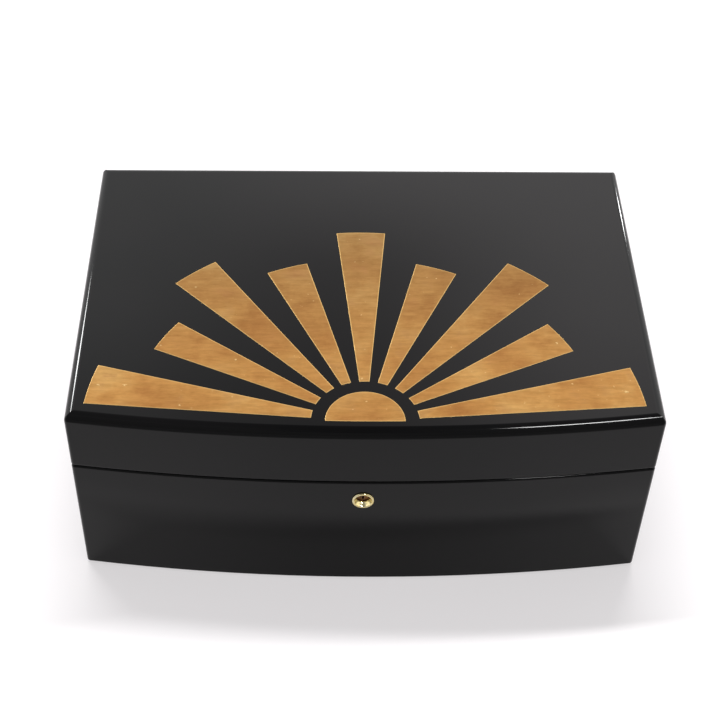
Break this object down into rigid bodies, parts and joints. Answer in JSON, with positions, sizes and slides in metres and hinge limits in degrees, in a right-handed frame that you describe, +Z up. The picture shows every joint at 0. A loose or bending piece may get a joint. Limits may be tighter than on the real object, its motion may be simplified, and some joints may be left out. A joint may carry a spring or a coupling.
{
  "type": "perfume box",
  "caption": "Black high-gloss lacquered box with a bowed front, a hinged lid with flush gold inlay, a round gold cylinder lock and a lined, divided inside for bottles.",
  "frame": {"origin": "middle of the straight sides' depth and of the width, on the surface that the box stands on", "axes": "+Z up, -Y towards the bowed front, +X to the right as seen from the front"},
  "size_m": [0.3, 0.2152, 0.12],
  "materials": {
    "black_lacquer": "black lacquer, high gloss",
    "black_felt": "felt",
    "beige_suede": "short napped suede",
    "grey_board": "plain board",
    "gold_leaf": "mottled gold under clear lacquer",
    "gold_plate": "polished gold plate",
    "brass": "polished",
    "lock_steel": "plain"
  },
  "bodies": {
    "case": {"case_front": "black_lacquer", "case_back": "black_lacquer", "case_left": "black_lacquer", "case_right": "black_lacquer", "case_bottom": "black_lacquer", "base_felt": "black_felt", "floor_liner": "beige_suede", "divider_long": "beige_suede", "divider_cross_1": "beige_suede", "divider_cross_2": "beige_suede", "divider_cross_3": "beige_suede", "liner_front": "beige_suede", "liner_back": "beige_suede", "liner_left": "beige_suede", "liner_right": "beige_suede", "lock_escutcheon": "gold_plate", "lock_face_plate": "brass", "lock_face_screws": "brass", "hinge_leaf_lower_left": "brass", "hinge_leaf_lower_right": "brass", "hinge_pin_left": "brass", "hinge_pin_right": "brass", "hinge_screws_lower": "brass", "lock_case": "lock_steel", "lock_cap": "lock_steel"},
    "lid": {"lid_front": "black_lacquer", "lid_back": "black_lacquer", "lid_left": "black_lacquer", "lid_right": "black_lacquer", "lid_top": "black_lacquer", "lid_board": "grey_board", "lid_pad": "beige_suede", "lid_liner_front": "beige_suede", "lid_liner_back": "beige_suede", "lid_liner_left": "beige_suede", "lid_liner_right": "beige_suede", "inlay_hub": "gold_leaf", "inlay_ray_1": "gold_leaf", "inlay_ray_2": "gold_leaf", "inlay_ray_3": "gold_leaf", "inlay_ray_4": "gold_leaf", "inlay_ray_5": "gold_leaf", "inlay_ray_6": "gold_leaf", "inlay_ray_7": "gold_leaf", "inlay_ray_8": "gold_leaf", "inlay_ray_9": "gold_leaf", "hinge_leaf_upper_left": "brass", "hinge_leaf_upper_right": "brass", "hinge_screws_upper": "brass", "strike_plate": "brass", "strike_screws": "brass"},
    "lock_plug": {"lock_plug": "gold_plate"},
    "lock_bolt": {"lock_bolt": "lock_steel"}
  },
  "joints": [
    {"name": "lid_hinge", "type": "hinge", "parent": "case", "child": "lid", "pos_m": [0, 0.1007, 0.08215], "axis": [-1, 0, 0], "range_deg": [0, 95]},
    {"name": "lock_plug_turn", "type": "hinge", "parent": "case", "child": "lock_plug", "pos_m": [0, -0.1064, 0.0682], "axis": [0, 1, 0], "range_deg": [0, 90]},
    {"name": "lock_bolt_slide", "type": "slide", "parent": "case", "child": "lock_bolt", "axis": [1, 0, 0], "range_m": [0, 0.00453]}
  ],
  "couplings": [
    {"joint": "lock_plug_turn", "follows": "lock_bolt_slide", "rad_per_m": 347.1}
  ]
}
